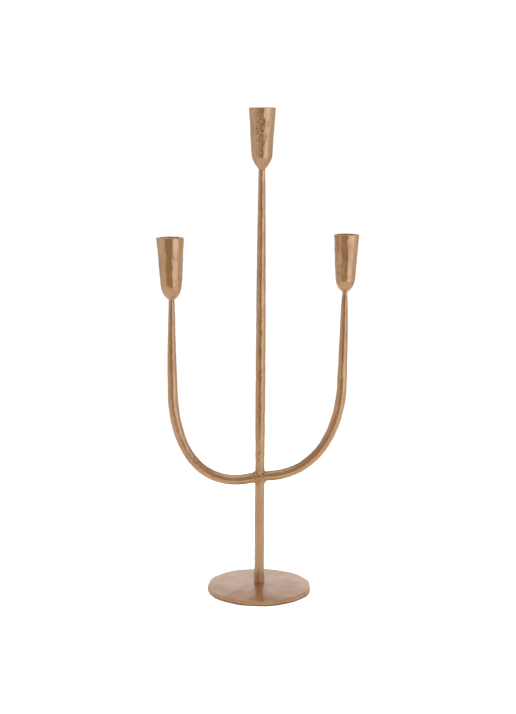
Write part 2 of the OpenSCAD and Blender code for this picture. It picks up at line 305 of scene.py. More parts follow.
def skin(name, rings, grain=None, ridge=None, rough=None, loop=False):
    """A closed mesh over rings of equal length, with what the metal's finish reads on it."""
    rings = np.asarray(rings, float)
    n, m = rings.shape[:2]
    points = list(map(tuple, rings.reshape(-1, 3)))
    span = n if loop else n - 1
    faces = []
    for i in range(span):
        j = (i + 1) % n
        faces += [(i * m + k, i * m + (k + 1) % m, j * m + (k + 1) % m, j * m + k)
                  for k in range(m)]
    extra = []
    if not loop:
        for i in (0, n - 1):
            extra.append(i)
            centre = len(points)
            points.append(tuple(rings[i].mean(0)))
            faces += [(i * m + k, i * m + (k + 1) % m, centre) for k in range(m)]
    mesh = bpy.data.meshes.new(name)
    mesh.from_pydata(points, [], faces)
    tidy_normals(mesh)
    for key, values in (("grain", rings if grain is None else grain), ("ridge", ridge),
                        ("rough", rough)):
        values = np.zeros((n, m)) if values is None else np.asarray(values, float)
        ends = [values[i].mean(0).reshape(1, -1) for i in extra]
        mark_points(mesh, key, np.concatenate([values.reshape(n * m, -1)] + ends))
    return mesh


def mark_points(mesh, name, values):
    """Gives each point of a mesh a vector or a number, for its finish to read."""
    kind, field = ("FLOAT_VECTOR", "vector") if values.shape[1] == 3 else ("FLOAT", "value")
    mesh.attributes.new(name, kind, "POINT").data.foreach_set(field, values.ravel())


def tidy_normals(mesh, edge=40):
    """Turns all faces outwards and shades them smooth but for true edges."""
    bm = bmesh.new()
    bm.from_mesh(mesh)
    bmesh.ops.recalc_face_normals(bm, faces=bm.faces)
    bm.to_mesh(mesh)
    bm.free()
    mesh.shade_smooth()
    mesh.set_sharp_from_angle(angle=math.radians(edge))


def add_object(name, data):
    """A new object in the scene."""
    made = bpy.data.objects.new(name, data)
    bpy.context.scene.collection.objects.link(made)
    return made


def mesh_of(name, bm):
    """A mesh of what a bmesh holds, which is then given up."""
    mesh = bpy.data.meshes.new(name)
    bm.to_mesh(mesh)
    bm.free()
    return mesh


def place(name, mesh, material, nodes, slot):
    """Puts a piece on the frame in place of the CAD nodes that it stands for."""
    piece = add_object(name, mesh)
    piece.data.materials.clear()
    piece.data.materials.append(material)
    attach(piece, "root")
    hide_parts(*nodes)
    return piece


# --- stem and arms


class Cup:
    """One cup's own place and shape, given in millimetres and degrees."""

    def __init__(self, name, faces, first, twist, lean, seed, **lengths):
        self.name = name
        self.faces = faces
        self.first = math.radians(first)
        self.twist = math.radians(twist)
        self.lean = lean[0] * MM, lean[1] * MM
        self.seed = seed
        for key, length in lengths.items():
            setattr(self, key, length * MM)
        self.foot_z = self.rim_z - self.height

    def leant(self, points):
        """Points moved aside as the cup leans; the bar below it follows."""
        moved = np.array(points)
        z = moved[..., 2]
        foot, rim = self.lean
        below = np.clip((z - self.foot_z) / (55 * MM) + 1, 0, 1)
        above = np.maximum(z - self.foot_z, 0) / self.height
        moved[..., 0] += foot * below ** 2 * (3 - 2 * below) + (rim - foot) * above
        return moved


class Arm:
    """One arm's own shape, given in millimetres and degrees."""

    def __init__(self, name, side, cup, dip, full, seed, **lengths):
        self.name = name
        self.side = side
        self.cup = cup
        self.dip = math.radians(dip)
        self.full = full
        self.seed = seed
        for key, length in lengths.items():
            setattr(self, key, length * MM)


LEFT_CUP = Cup("left_cup", x=-95.5, rim_z=384.5, height=68.5, lip=3.1, neck_r=3, neck_h=2.5,
               shoulder_h=20, belly_h=4.5, lean=(1.06, -0.27), faces=12, first=-97.5, twist=5,
               seed=310)
MIDDLE_CUP = Cup("middle_cup", x=0, rim_z=519.5, height=65, lip=2.4, neck_r=3.4, neck_h=1.5,
                 shoulder_h=14, belly_h=8.5, lean=(0, 0), faces=14, first=-91, twist=0, seed=320)
RIGHT_CUP = Cup("right_cup", x=89, rim_z=389, height=64.5, lip=2, neck_r=2.7, neck_h=3.5,
                shoulder_h=15, belly_h=5, lean=(-0.58, 0.32), faces=11, first=-104, twist=-3,
                seed=330)
CUPS = (LEFT_CUP, MIDDLE_CUP, RIGHT_CUP)
LEFT_ARM = Arm("left_arm", side=-1, cup=LEFT_CUP, reach=95.5, dip=11, bend_h=94, run=46, turn=72,
               lean=1.8, full=1.06, pinch=0, seed=101)
RIGHT_ARM = Arm("right_arm", side=1, cup=RIGHT_CUP, reach=89, dip=-5, bend_h=102, run=47,
                turn=52, lean=2.2, full=1.03, pinch=1.2, seed=201)
ARMS = (LEFT_ARM, RIGHT_ARM)


def stem_size(bars, z):
    """Thickness of the stem from ridge to ridge at a height."""
    plate_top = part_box("base_plate")[1].z
    top = MIDDLE_CUP.foot_z
    d = tapered(bars.stem_d, bars.stem_tip_d, bars.stem_taper, bars.stem_taper_power, top - z)
    flare = np.clip(1 - (z - plate_top) / bars.foot_h, 0, 1)
    return d + (bars.foot_d - bars.stem_d) * flare ** 1.5


def stem_radius(bars, turn, z):
    """Distance from the stem's axis to its hammered skin, and how near a ridge it is."""
    share, ridge = hammered(turn, z, bars.faces, FACE_TURN, bars, 11)
    full = STEM_FULLNESS + FOOT_FULLNESS * np.clip((bars.joint_z + 20 * MM - z) / (60 * MM), 0, 1)
    return stem_size(bars, z) / 2 * share * full, ridge


def arm_frame(bars, arm):
    """Where an arm starts on the stem's axis, the way that it leaves, and the way across it."""
    out = Vector((arm.side * math.cos(arm.dip), 0, -math.sin(arm.dip)))
    start, across = Vector((0, 0, bars.joint_z)), Vector((out.z, 0, -out.x))
    return np.array(start), np.array(out), np.array(across)


def round_bar(centre, across, turn, radius):
    """Points round a centre, turned from a direction in the arms' plane towards the depth."""
    return (centre + (radius * np.cos(turn))[..., None] * across
            + (radius * np.sin(turn))[..., None] * DEPTH)


def arm_line(bars, arm, step=1 * MM):
    """Evenly spaced points along an arm's middle, from the stem's axis to the cup."""
    start, out, _ = arm_frame(bars, arm)
    start, out = start[[0, 2]], out[[0, 2]]
    root = start + bars.root * out
    bend_end = np.array([arm.side * (arm.reach - arm.lean), bars.joint_z + arm.bend_h])
    tip = np.array([arm.side * arm.reach, arm.cup.foot_z])
    up = (tip - bend_end) / np.linalg.norm(tip - bend_end)
    p = [root, root + arm.run * out, bend_end - arm.turn * up, bend_end]
    t = np.linspace(0, 1, 400)[:, None]
    bend = ((1 - t) ** 3 * p[0] + 3 * (1 - t) ** 2 * t * p[1]
            + 3 * (1 - t) * t ** 2 * p[2] + t ** 3 * p[3])
    line = np.concatenate([start[None], bend, tip[None]])
    far = np.concatenate([[0], np.cumsum(np.linalg.norm(np.diff(line, axis=0), axis=1))])
    count = int(round(far[-1] / step)) + 1
    even = np.linspace(0, far[-1], count)
    return np.stack([np.interp(even, far, line[:, 0]), np.interp(even, far, line[:, 1])], -1), even


def arm_radius(bars, arm, turn, along, whole):
    """Distance from an arm's middle to its hammered skin, and how near a ridge it is."""
    from_tip = whole - along
    tip_d = 2 * arm.cup.neck_r + arm.pinch
    d = tapered(bars.arm_d, tip_d, bars.arm_taper, bars.arm_taper_power, from_tip)
    d = d - arm.pinch * np.exp(-np.maximum(from_tip, 0) / (6 * MM))
    share, ridge = hammered(turn, along, bars.faces, FACE_TURN, bars, arm.seed)
    return d / 2 * share * arm.full, ridge


def tenon_rings(radius, z, cups, count):
    """Rings up a cup's tenon and over its riveted head."""
    head = radius + cups.rivet_spread
    floor = z + cups.floor_h
    rise = cups.rivet_h
    return circles([(radius, z), (radius, floor), (head, floor),
                    (head - 0.15 * MM, floor + 0.3 * rise), (0.75 * head, floor + 0.8 * rise),
                    (0.35 * head, floor + rise)], count)


def grain_of(turn, radius, along):
    """Straightened-out coordinates, which the finish runs along."""
    return np.stack([radius * np.cos(turn), radius * np.sin(turn), along], -1)


def build_stem(bars, cups):
    """The stem: tapped foot, lip, hammered bar, and the tenon of the middle cup."""
    plate_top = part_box("base_plate")[1].z
    screw_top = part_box("base_screw")[1].z
    top = MIDDLE_CUP.foot_z
    z = np.arange(plate_top + bars.foot_lip_h, top + 1e-9, 1 * MM)
    z[-1] = top
    turn, height = np.meshgrid(turns(BAR_RING), z)
    radius, ridge = stem_radius(bars, turn, height)
    radius += 0.02 * MM * ripple(grain_of(turn, radius, height * 0.5), 5 * MM, 7)
    struck = nicks(turn, radius, height, 46, 8)
    radius -= bars.nick * struck
    ridge = np.maximum(ridge, struck)
    shaft = grain_of(turn, radius, height)
    lip_r = bars.foot_d / 2 + bars.foot_lip
    lip = bars.foot_lip_h
    start = circles([(bars.tap_r, screw_top + 3 * MM), (bars.tap_r, plate_top),
                     (lip_r - 0.25 * MM, plate_top), (lip_r, plate_top + 0.3 * lip),
                     (lip_r, plate_top + 0.6 * lip), (lip_r - 0.22 * MM, plate_top + 0.95 * lip)],
                    BAR_RING)
    end = tenon_rings(cups.tenon_d / 2, top, cups, BAR_RING)
    rings = np.concatenate([start, shaft, end])
    ridges = np.zeros(rings.shape[:2])
    ridges[len(start):len(start) + len(z)] = ridge
    # The foot lip is marked as a clean ridge: partly rubbed wear on the raised lip, partly a
    # painted highlight that makes the thin lip read as a bright line.
    ridges[3:len(start)] = 0.8
    rough = joint_rough(bars, rings)
    return skin("stem", rings, ridge=ridges, rough=rough)


def joint_rough(bars, points):
    """How strongly the raw, torched skin round the brazed joint shows at each point."""
    away = np.linalg.norm(points - np.array([0, 0, bars.joint_z]), axis=-1)
    edge = 11 * MM + 2.5 * MM * ripple(points, 9 * MM, 77)
    return np.clip((edge - away) / (4 * MM), 0, 1)


def build_arm(bars, cups, arm):
    """An arm: tenon in the stem, root coped to it, hammered bend, and the cup's tenon."""
    line, along = arm_line(bars, arm)
    start, out, across = arm_frame(bars, arm)
    keep = along > 8 * MM
    line, at = line[keep], along[keep]
    way = np.gradient(line, axis=0)
    way /= np.linalg.norm(way, axis=1)[:, None]
    way[0] = out[[0, 2]]
    way[-1] = (0, 1)
    turn, far = np.meshgrid(turns(BAR_RING), at)
    radius, ridge = arm_radius(bars, arm, turn, far, along[-1])
    grain = grain_of(turn, radius, far)
    radius = radius + 0.02 * MM * ripple(grain * (1, 1, 0.5), 5 * MM, arm.seed)
    struck = nicks(turn, radius, far, 24, arm.seed + 3)
    radius = radius - bars.nick * struck
    ridge = np.maximum(ridge, struck)
    side = np.stack([way[:, 1], 0 * way[:, 0], -way[:, 0]], -1)
    middle = np.stack([line[:, 0], 0 * line[:, 0], line[:, 1]], -1)
    body = round_bar(middle[:, None], side[:, None], turn, radius)
    coped, coped_far, coped_ridge = cope(bars, arm, None, along[-1])
    inner, _, _ = cope(bars, arm, bars.tenon_d / 2, along[-1])
    a = turns(BAR_RING)
    end = round_bar(start + out * bars.tenon_stop, across, a, bars.tenon_d / 2)
    cap = tenon_rings(cups.tenon_d / 2, arm.cup.foot_z, cups, BAR_RING)
    turned = arm_turned(cap, side[-1], middle[-1])
    rings = arm.cup.leant(np.concatenate([[end, inner, coped], body, turned]))
    grains = np.concatenate([[grain_of(a, bars.tenon_d / 2, 0 * a)] * 2,
                             [grain_of(a, bars.arm_d / 2, coped_far)], grain, turned])
    ridges = np.concatenate([np.zeros((2, BAR_RING)), coped_ridge[None], ridge,
                             np.zeros((len(cap), BAR_RING))])
    return skin(arm.name, rings, grain=grains, ridge=ridges, rough=joint_rough(bars, rings))


def arm_turned(rings, side, middle):
    """Level rings round the tip of an arm, in step with the arm's own rings."""
    rings = np.array(rings)
    flat = rings[..., 0:1] * side + rings[..., 1:2] * DEPTH
    flat[..., 0] += middle[0]
    flat[..., 2] = rings[..., 2]
    return flat


def cope(bars, arm, radius, whole):
    """The ring where an arm, or its tenon, meets the hammered skin of the stem."""
    start, out, across = arm_frame(bars, arm)
    a = turns(BAR_RING)
    far = np.full(BAR_RING, 6 * MM)
    least = bars.stem_d / 4
    for _ in range(30):
        r, ridge = (radius, None) if radius else arm_radius(bars, arm, a, far, whole)
        point = round_bar(start + far[:, None] * out, across, a, r)
        stem_r, _ = stem_radius(bars, np.arctan2(point[:, 1], point[:, 0]), point[:, 2])
        want = np.sqrt(np.maximum(stem_r ** 2 - point[:, 1] ** 2, least ** 2))
        far += 0.7 * (want - np.abs(point[:, 0]))
    return point, far, ridge


def bore(piece, sides, bars):
    """Cuts the blind holes for the arms' tenons into the stem."""
    bm = bmesh.new()
    for arm in sides:
        start, out, across = arm_frame(bars, arm)
        radius = bars.tenon_d / 2 + bars.tenon_gap
        reaches = (bars.tenon_stop - bars.tenon_gap, 9 * MM)
        inner, outer = ends = [
            [bm.verts.new(p) for p in
             round_bar(start + out * reach, across, turns(BORE_RING), radius)]
            for reach in reaches]
        for k in range(BORE_RING):
            j = (k + 1) % BORE_RING
            bm.faces.new((inner[k], inner[j], outer[j], outer[k]))
        for e in ends:
            bm.faces.new(e)
    bmesh.ops.recalc_face_normals(bm, faces=bm.faces)
    cutter = add_object("tenon_bores", mesh_of("tenon_bores", bm))
    cut = piece.modifiers.new("tenon_bores", "BOOLEAN")
    cut.operation = "DIFFERENCE"
    cut.solver = "EXACT"
    cut.object = cutter
    bake_modifiers(piece)
    bpy.data.objects.remove(cutter)


def bake_modifiers(piece):
    """Makes what a piece's modifiers give its own mesh."""
    graph = bpy.context.evaluated_depsgraph_get()
    made = bpy.data.meshes.new_from_object(piece.evaluated_get(graph), depsgraph=graph)
    piece.modifiers.clear()
    old = piece.data
    piece.data = made
    made.name = old.name
    bpy.data.meshes.remove(old)


# --- brazed joint


def surface_net(field, origin, step):
    """Closed quad mesh round the places where a field on a grid is below zero."""
    inside = field < 0
    cells = tuple(s - 1 for s in field.shape)
    total = np.zeros(cells + (3,))
    count = np.zeros(cells)
    corners = [(i, j, k) for i in (0, 1) for j in (0, 1) for k in (0, 1)]
    for a in corners:
        for axis in range(3):
            if a[axis]:
                continue
            b = tuple(c + (axis == i) for i, c in enumerate(a))
            cut_a = tuple(slice(c, c + s) for c, s in zip(a, cells))
            cut_b = tuple(slice(c, c + s) for c, s in zip(b, cells))
            fa, fb = field[cut_a], field[cut_b]
            crossed = (fa < 0) != (fb < 0)
            t = np.where(crossed, fa / np.where(crossed, fa - fb, 1), 0)
            for i in range(3):
                total[..., i] += np.where(crossed, a[i] + (t if i == axis else 0), 0)
            count += crossed
    held = count > 0
    index = np.full(cells, -1)
    index[held] = np.arange(held.sum())
    points = origin + step * (np.argwhere(held) + total[held] / count[held][:, None])
    faces = []
    for axis in range(3):
        u, v = (axis + 1) % 3, (axis + 2) % 3
        first = [slice(1, -1)] * 3
        second = [slice(1, -1)] * 3
        first[axis], second[axis] = slice(0, -1), slice(1, None)
        a, b = inside[tuple(first)], inside[tuple(second)]
        for flip, crossed in ((False, a & ~b), (True, ~a & b)):
            spot = np.argwhere(crossed) + 1
            spot[:, axis] -= 1
            quad = []
            for du, dv in ((-1, -1), (0, -1), (0, 0), (-1, 0)):
                cell = spot.copy()
                cell[:, u] += du
                cell[:, v] += dv
                quad.append(index[tuple(cell.T)])
            quad = np.stack(quad[::-1] if flip else quad, -1)
            faces += [tuple(map(int, q)) for q in quad]
    return points, faces


def build_braze(bars, arm):
    """The brazing metal of one arm: fillets in the corners and a thin skin that hides the seam."""
    step = 0.3 * MM
    reach = 15 * MM
    x = np.arange(-2 * step, reach, step)
    y = np.arange(-7.5 * MM, 7.5 * MM, step)
    z = np.arange(-14 * MM, 14 * MM, step) + bars.joint_z
    grid = np.stack(np.meshgrid(x * arm.side, y, z, indexing="ij"), -1)
    start, out, across = arm_frame(bars, arm)
    from_axis = np.hypot(grid[..., 0], grid[..., 1])
    stem_r, _ = stem_radius(bars, np.arctan2(grid[..., 1], grid[..., 0]), grid[..., 2])
    to_stem = from_axis - stem_r
    local = grid - start
    along = local @ out
    aside = local @ across
    arm_r, _ = arm_radius(bars, arm, np.arctan2(grid[..., 1], aside), along, 1.0)
    to_arm = np.hypot(aside, grid[..., 1]) - arm_r
    to_arm = np.where(along < 1 * MM, np.maximum(to_arm, (1 * MM - along) * 0.5), to_arm)
    below = grid[..., 2] < bars.joint_z
    wide = np.where(below, 5.4, 2.6) if arm.side > 0 else np.where(below, 4.4, 4.6)
    front = np.clip(np.abs(grid[..., 1]) / (4.6 * MM), 0, 1)
    soft = (wide * (1 - front ** 2) + 1.7 * front ** 2) * MM
    soft = soft * (1 + 0.25 * ripple(grid, 7 * MM, arm.seed + 5))
    near = np.minimum(to_stem, to_arm)
    blend = np.clip(0.5 + 0.5 * (to_arm - to_stem) / soft, 0, 1)
    joined = to_arm * (1 - blend) + to_stem * blend - soft * blend * (1 - blend)
    swell = near - joined
    lumps = 0.07 * MM * ripple(grid, 1.6 * MM, arm.seed + 6) \
        + 0.10 * MM * ripple(grid, 4 * MM, arm.seed + 8)
    field = np.maximum(joined + 0.12 * MM + lumps, -(near + 0.45 * MM))
    field = np.maximum(field, 2 * (0.07 * MM - swell))
    field = np.maximum(field, (0.02 * MM - grid[..., 0] * arm.side))
    for axis in range(3):
        for end in (0, -1):
            cut = [slice(None)] * 3
            cut[axis] = end
            field[tuple(cut)] = np.maximum(field[tuple(cut)], step)
    points, faces = surface_net(field, np.array([x[0], y[0], z[0]]), step)
    points[:, 0] *= arm.side
    name = arm.name.replace("arm", "braze")
    mesh = bpy.data.meshes.new(name)
    mesh.from_pydata(list(map(tuple, points)), [], faces)
    drop_crumbs(mesh)
    tidy_normals(mesh, edge=60)
    co = np.array([v.co for v in mesh.vertices])
    mark_points(mesh, "grain", co)
    mark_points(mesh, "ridge", np.zeros((len(co), 1)))
    mark_points(mesh, "rough", np.ones((len(co), 1)))
    return mesh


def drop_crumbs(mesh):
    """Leaves only the biggest connected part of a mesh and relaxes it a little."""
    bm = bmesh.new()
    bm.from_mesh(mesh)
    left = set(bm.verts)
    parts = []
    while left:
        part = [left.pop()]
        for v in part:
            for e in v.link_edges:
                w = e.other_vert(v)
                if w in left:
                    left.remove(w)
                    part.append(w)
        parts.append(part)
    parts.sort(key=len)
    bmesh.ops.delete(bm, geom=[v for part in parts[:-1] for v in part], context="VERTS")
    for _ in range(2):
        bmesh.ops.smooth_vert(bm, verts=bm.verts, factor=0.4, use_axis_x=True, use_axis_y=True,
                              use_axis_z=True)
    bm.to_mesh(mesh)
    bm.free()


# --- cups


def cup_outline(cups, cup, height):
    """Radius of a cup's ridges at a height above its foot."""
    rim_r = cups.socket_r + cup.lip
    shoulder_r = rim_r - cups.draft
    t = np.linspace(0, 1, 60)
    p = [(cup.neck_r, cup.neck_h), (shoulder_r - 0.15 * cups.draft, cup.neck_h + cup.belly_h),
         (shoulder_r, cup.neck_h + cup.shoulder_h)]
    r, z = ((1 - t) ** 2 * p[0][i] + 2 * (1 - t) * t * p[1][i] + t ** 2 * p[2][i]
            for i in (0, 1))
    r = np.concatenate([[cup.neck_r], r, [rim_r]])
    z = np.concatenate([[0], z, [cup.height]])
    return np.interp(height, z, r)


def build_cup(cups, cup):
    """A cup: hammered outside, rounded rim, turned socket and hollow, and a hole for the tenon."""
    count = CUP_RING
    edge = cups.rim_round
    h = cup.height
    z = np.concatenate([np.arange(0, h - edge, 0.9 * MM), [h - edge]])
    turn, height = np.meshgrid(turns(count), z)
    full = cup_outline(cups, cup, height)
    first = cup.first + cup.twist * (1 - height / h)
    share, ridge = hammered(turn, height, cup.faces, first, cups, cup.seed)
    belly = np.clip((height - 4 * MM) / (16 * MM), 0, 1)
    share = 1 - (1 - share) * (0.35 + 0.65 * belly)
    radius = full * share * (1 + CUP_FULLNESS * belly)
    grain = grain_of(turn, radius, height)
    rough = cast_patch(cup, turn, height, grain)
    radius += 0.045 * MM * ripple(grain, 6 * MM, cup.seed + 90) * belly
    radius += rough * 0.2 * MM * ripple(grain, 2.2 * MM, cup.seed + 91)
    outside = grain_of(turn, radius, height)
    a = turns(count)
    rim_out = radius[-1]
    sag = RIM_SAG * (1 + wander(a, 0.9, cup.seed + 70)) * np.sin(a / 2) ** 2
    sag = sag + RIM_TIP * (1 + np.sin(a)) * (cup.x != 0)
    hole_r = cups.tenon_d / 2 + cups.tenon_gap
    rings = [circle(hole_r, 0, count)] + list(outside)
    for part in (0.35, 0.7, 1.0):
        lean = part * math.pi / 2
        r = rim_out - edge * (1 - math.cos(lean))
        rings.append(circle(r, h - edge + edge * math.sin(lean) - sag * part, count))
    for part in (0.0, 0.5, 1.0):
        lean = part * math.pi / 2
        r = cups.socket_r + edge * (1 - math.sin(lean))
        rings.append(circle(r, h - edge * (1 - math.cos(lean)) - sag * (1 - part), count))
    low = h - cups.socket_h
    top_r = cups.socket_r - cups.ledge
    rings += circles([(cups.socket_r, low), (top_r, low), (7.4 * MM, cups.floor_h + 1.5 * MM),
                      (6.4 * MM, cups.floor_h), (hole_r, cups.floor_h)], count)
    rings = np.array(rings)
    ridges = np.zeros(rings.shape[:2])
    ridges[1:1 + len(z)] = ridge
    ridges[1 + len(z):4 + len(z)] = 1.0
    roughs = np.zeros(rings.shape[:2])
    roughs[1:1 + len(z)] = rough
    roughs[5 + len(z):] = 2.0
    grains = rings.copy()
    rings[..., 0] += cup.x
    rings[..., 2] += cup.foot_z
    rings = cup.leant(rings)
    return skin(cup.name, rings, grain=grains, ridge=ridges, rough=roughs, loop=True)


def cast_patch(cup, turn, height, grain):
    """Where the skin of the casting was left rough on a cup."""
    if cup.name != "middle_cup":
        return np.clip(0.5 * ripple(grain, 14 * MM, cup.seed + 60) - 0.45, 0, 0.5)
    aside = np.angle(np.exp(1j * (turn - CAST_TURN))) / CAST_WIDTH
    up = (height - CAST_UP) / CAST_HEIGHT
    edge = 0.35 * ripple(grain, 6 * MM, 61)
    return np.clip(1.5 * (1 - aside ** 2 - up ** 2) + edge, 0, 1)


# --- foot


def build_plate(foot, bars):
    """The round plate: gently domed and dented top, uneven outline, countersunk hole."""
    low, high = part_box("base_plate")
    bottom, top, r = low.z, high.z, high.x
    count = PLATE_RING
    a = turns(count)
    rim = r * flat_sides(a, foot.sides, foot.side_depth, 408)
    flat_r = bars.foot_d / 2 + bars.foot_lip + 1.5 * MM
    rings = [circle(foot.hole_r, top, count)]
    for far in np.concatenate([[flat_r * 0.8], np.linspace(flat_r, r - 1.4 * MM, 46)]):
        t = np.clip((far - flat_r) / (r - 0.5 * MM - flat_r), 0, 1)
        ring = circle(far * (1 + (rim / r - 1) * t ** 3), top - foot.rise * t * t, count)
        fade = min(1, max(0, (far - flat_r) / (9 * MM)))
        marks = ripple(ring, 30 * MM, 401) * 0.8 + ripple(ring, 13 * MM, 402) * 0.2
        ring[:, 2] += foot.dents * (marks - 1) * fade
        rings.append(ring)
    edge_top = bottom + foot.edge_t
    drop = rings[-1][:, 2] - edge_top
    corner = 0.75 * MM
    upper_edge = len(rings) + 2
    for part in (0.0, 0.35, 0.7, 1.0):
        lean = part * math.pi / 2
        height = edge_top - corner * (1 - math.cos(lean)) + drop * 0.55 * (1 - part)
        rings.append(circle(rim - corner * (1 - math.sin(lean)), height, count))
    for part in (0.0, 0.5, 1.0):
        lean = part * math.pi / 2
        radius = rim - 0.6 * MM * (1 - math.cos(lean)) - 0.1 * MM
        rings.append(circle(radius, bottom + 0.6 * MM * (1 - math.sin(lean)), count))
    sink = bottom + foot.sink_land
    rings += circles([(foot.sink_r, bottom), (foot.sink_r, sink),
                      (foot.hole_r, sink + foot.sink_h * 0.94)], count)
    rings = np.array(rings)
    ridges = np.zeros(rings.shape[:2])
    # Painted shade: the edge rings take a negative ridge mark, so the band round the plate's edge
    # is coloured darker and less glossy.
    ridges[upper_edge:] = PLATE_EDGE_PAINTED_SHADE
    return skin("base_plate", rings, ridge=ridges, loop=True)


def flat_sides(turn, sides, depth, seed):
    """Share of the radius left by a few soft flats hammered on a round edge."""
    rng = np.random.default_rng(seed)
    total = 0
    for k in range(sides):
        facing = 2 * np.pi * (k + rng.uniform(-0.3, 0.3)) / sides
        level = 1 - depth * rng.uniform(0.4, 1.0)
        total = total + (np.maximum(np.cos(turn - facing), 0) / level) ** 260.0
    return 1 / np.maximum(total + 1, 1e-9) ** (1 / 260)


def build_felt():
    """The felt disc, with a soft, uneven edge."""
    low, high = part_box("base_felt")
    count = FELT_RING
    a = turns(count)
    rim = high.x - 0.25 * MM * (1 + wander(a * 30 / math.pi, 1.0, 501)) * (1 - np.cos(a)) / 2
    thick = high.z - low.z
    rings = circles([(rim * far, low.z + thick * up) for far, up in (
        (0.04, 1), (0.5, 1), (0.9, 1), (0.992, 1), (1, 0.75), (1, 0.3), (0.995, 0.06),
        (0.9, 0), (0.5, 0), (0.04, 0))], count)
    return skin("base_felt", rings)


# --- finishes


class Wire:
    """A node's output, which adds Math nodes when it is used in a sum."""

    def __init__(self, tree, socket):
        self.tree = tree
        self.socket = socket

    def _math(self, operation, first, second):
        return self.tree.node("ShaderNodeMath", {"operation": operation}, {0: first, 1: second})

    def __add__(self, other):
        return self._math("ADD", self, other)

    def __radd__(self, other):
        return self._math("ADD", other, self)

    def __sub__(self, other):
        return self._math("SUBTRACT", self, other)

    def __rsub__(self, other):
        return self._math("SUBTRACT", other, self)

    def __mul__(self, other):
        return self._math("MULTIPLY", self, other)

    def __rmul__(self, other):
        return self._math("MULTIPLY", other, self)

    def __truediv__(self, other):
        return self._math("DIVIDE", self, other)

    def __rtruediv__(self, other):
        return self._math("DIVIDE", other, self)


class Tree:
    """The nodes of a material or a world."""

    def __init__(self, owner):
        owner.use_nodes = True
        self.tree = owner.node_tree
        self.tree.nodes.clear()

    def node(self, kind, settings=None, sockets=None, output=0):
        """Adds a node: its settings first, then what its sockets hold or are linked to."""
        made = self.tree.nodes.new(kind)
        for key, value in (settings or {}).items():
            if key == "stops":
                self._stops(made.color_ramp, value)
            else:
                setattr(made, key, value)
        for key, value in (sockets or {}).items():
            if isinstance(value, Wire):
                self.tree.links.new(value.socket, made.inputs[key])
            else:
                made.inputs[key].default_value = value
        return Wire(self, made.outputs[output]) if made.outputs else made

    @staticmethod
    def _stops(ramp, stops):
        ramp.interpolation = "EASE"
        while len(ramp.elements) < len(stops):
            ramp.elements.new(0.5)
        for element, (position, level) in zip(ramp.elements, stops):
            element.position = position
            element.color = (level, level, level, 1)

    def mix(self, share, first, second):
        """A colour part of the way from one to another."""
        full = [c if isinstance(c, Wire) else (*c, 1) for c in (first, second)]
        return self.node("ShaderNodeMix", {"data_type": "RGBA"},
                         {0: share, 6: full[0], 7: full[1]}, 2)

    @staticmethod
    def blend(share, first, second):
        """A number part of the way from one to another."""
        return first * (1 - share) + second * share

    def stretch(self, vector, by):
        """Coordinates multiplied along each axis."""
        return self.node("ShaderNodeVectorMath", {"operation": "MULTIPLY"},
                         {0: vector, 1: by})

    def noise(self, vector, size, detail=3.0, rough=0.55, twist=0.0):
        """Cloudy values from 0 to 1, with patches of the given size in metres."""
        return self.node("ShaderNodeTexNoise", {},
                         {"Vector": vector, "Scale": 1 / size, "Detail": detail,
                          "Roughness": rough, "Distortion": twist})

    def between(self, value, low, high):
        """0 below one value and 1 above another, with a smooth change between them."""
        return self.node("ShaderNodeMapRange", {"interpolation_type": "SMOOTHSTEP"},
                         {"Value": value, "From Min": low, "From Max": high})

    def mark(self, name, output="Fac"):
        """What the mesh says about each place, such as how near it is to a ridge."""
        return self.node("ShaderNodeAttribute", {"attribute_name": name}, {}, output)

    def surface(self, **sockets):
        """The material's own surface."""
        names = {key.replace("_", " "): value for key, value in sockets.items()}
        shader = self.node("ShaderNodeBsdfPrincipled", {}, names)
        self.node("ShaderNodeOutputMaterial", {}, {"Surface": shader})


